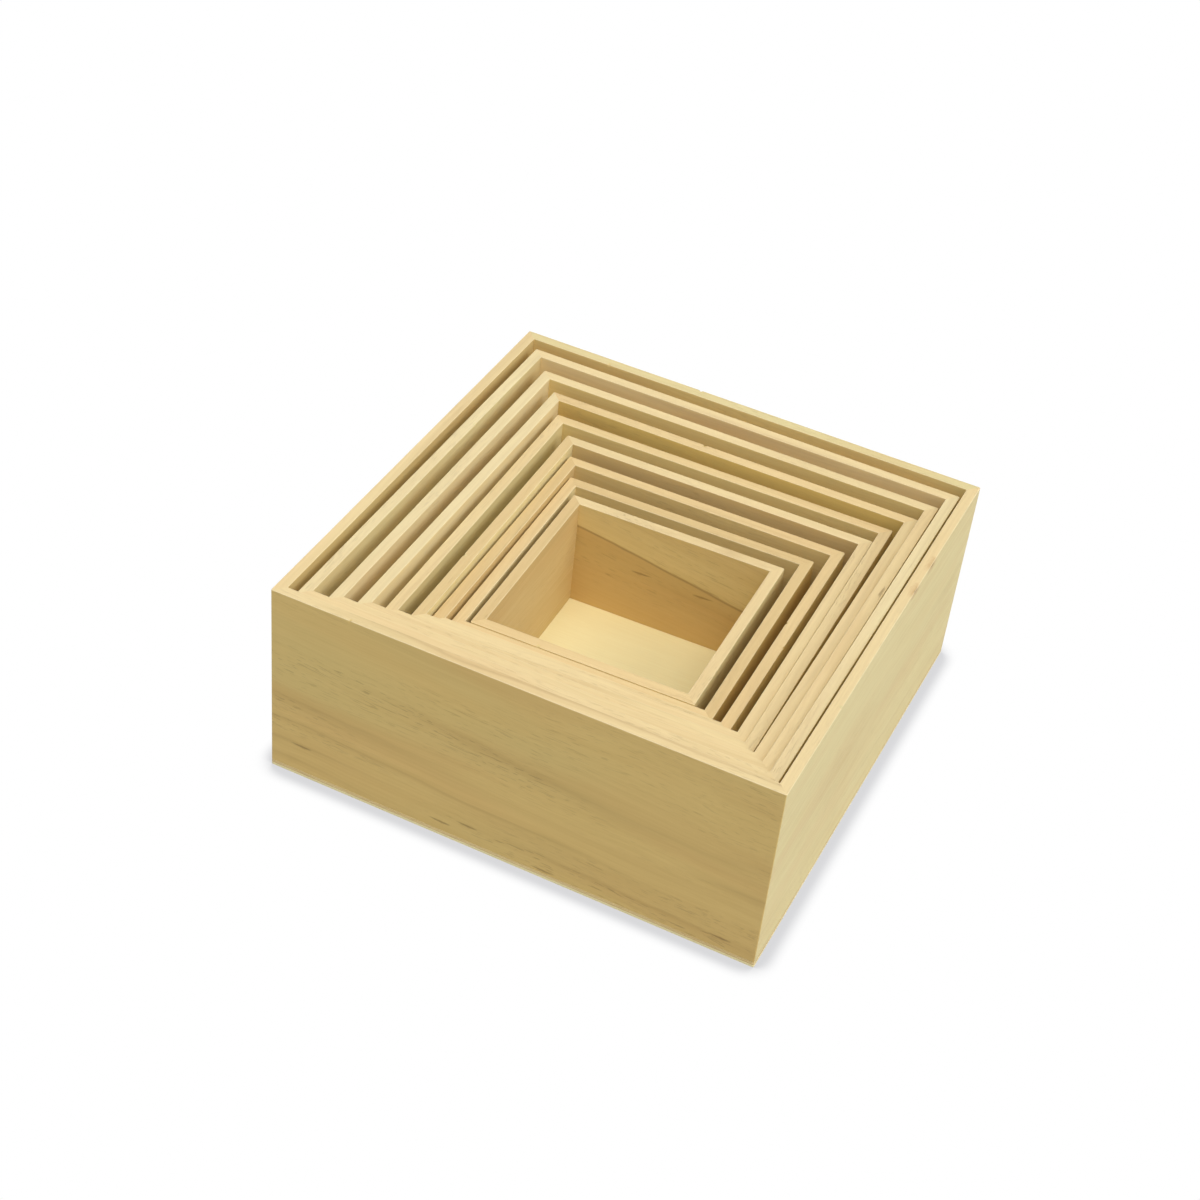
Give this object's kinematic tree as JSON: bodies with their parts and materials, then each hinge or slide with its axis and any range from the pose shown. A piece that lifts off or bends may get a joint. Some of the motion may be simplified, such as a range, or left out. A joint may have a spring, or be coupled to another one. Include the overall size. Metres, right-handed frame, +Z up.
{
  "type": "nest of square wooden boxes",
  "caption": "Nest of square open-topped boxes in bare pale wood, each lifting out of the next larger one, with mitred thin board walls on a plywood base.",
  "frame": {"origin": "middle of the underside of the largest box", "axes": "+Z up out of the open tops, +Y towards the back wall of the largest box, +X towards its right wall"},
  "size_m": [0.21, 0.21, 0.09],
  "materials": {
    "wall_wood": "bare, planed and lightly sanded, no varnish",
    "base_plywood": "bare plywood, sanded smooth"
  },
  "bodies": {
    "box_1": {"box_1_front_wall": "wall_wood", "box_1_right_wall": "wall_wood", "box_1_back_wall": "wall_wood", "box_1_left_wall": "wall_wood", "box_1_base": "base_plywood"},
    "box_2": {"box_2_front_wall": "wall_wood", "box_2_right_wall": "wall_wood", "box_2_back_wall": "wall_wood", "box_2_left_wall": "wall_wood", "box_2_base": "base_plywood"},
    "box_3": {"box_3_front_wall": "wall_wood", "box_3_right_wall": "wall_wood", "box_3_back_wall": "wall_wood", "box_3_left_wall": "wall_wood", "box_3_base": "base_plywood"},
    "box_4": {"box_4_front_wall": "wall_wood", "box_4_right_wall": "wall_wood", "box_4_back_wall": "wall_wood", "box_4_left_wall": "wall_wood", "box_4_base": "base_plywood"},
    "box_5": {"box_5_front_wall": "wall_wood", "box_5_right_wall": "wall_wood", "box_5_back_wall": "wall_wood", "box_5_left_wall": "wall_wood", "box_5_base": "base_plywood"},
    "box_6": {"box_6_front_wall": "wall_wood", "box_6_right_wall": "wall_wood", "box_6_back_wall": "wall_wood", "box_6_left_wall": "wall_wood", "box_6_base": "base_plywood"},
    "box_7": {"box_7_front_wall": "wall_wood", "box_7_right_wall": "wall_wood", "box_7_back_wall": "wall_wood", "box_7_left_wall": "wall_wood", "box_7_base": "base_plywood"},
    "box_8": {"box_8_front_wall": "wall_wood", "box_8_right_wall": "wall_wood", "box_8_back_wall": "wall_wood", "box_8_left_wall": "wall_wood", "box_8_base": "base_plywood"},
    "box_9": {"box_9_front_wall": "wall_wood", "box_9_right_wall": "wall_wood", "box_9_back_wall": "wall_wood", "box_9_left_wall": "wall_wood", "box_9_base": "base_plywood"}
  },
  "joints": [
    {"name": "lift_out_box_2", "type": "slide", "parent": "box_1", "child": "box_2", "axis": [0, 0, 1], "range_m": [0, 0.095]},
    {"name": "lift_out_box_3", "type": "slide", "parent": "box_2", "child": "box_3", "axis": [0, 0, 1], "range_m": [0, 0.09]},
    {"name": "lift_out_box_4", "type": "slide", "parent": "box_3", "child": "box_4", "axis": [0, 0, 1], "range_m": [0, 0.085]},
    {"name": "lift_out_box_5", "type": "slide", "parent": "box_4", "child": "box_5", "axis": [0, 0, 1], "range_m": [0, 0.08]},
    {"name": "lift_out_box_6", "type": "slide", "parent": "box_5", "child": "box_6", "axis": [0, 0, 1], "range_m": [0, 0.075]},
    {"name": "lift_out_box_7", "type": "slide", "parent": "box_6", "child": "box_7", "axis": [0, 0, 1], "range_m": [0, 0.07]},
    {"name": "lift_out_box_8", "type": "slide", "parent": "box_7", "child": "box_8", "axis": [0, 0, 1], "range_m": [0, 0.065]},
    {"name": "lift_out_box_9", "type": "slide", "parent": "box_8", "child": "box_9", "axis": [0, 0, 1], "range_m": [0, 0.06]}
  ]
}
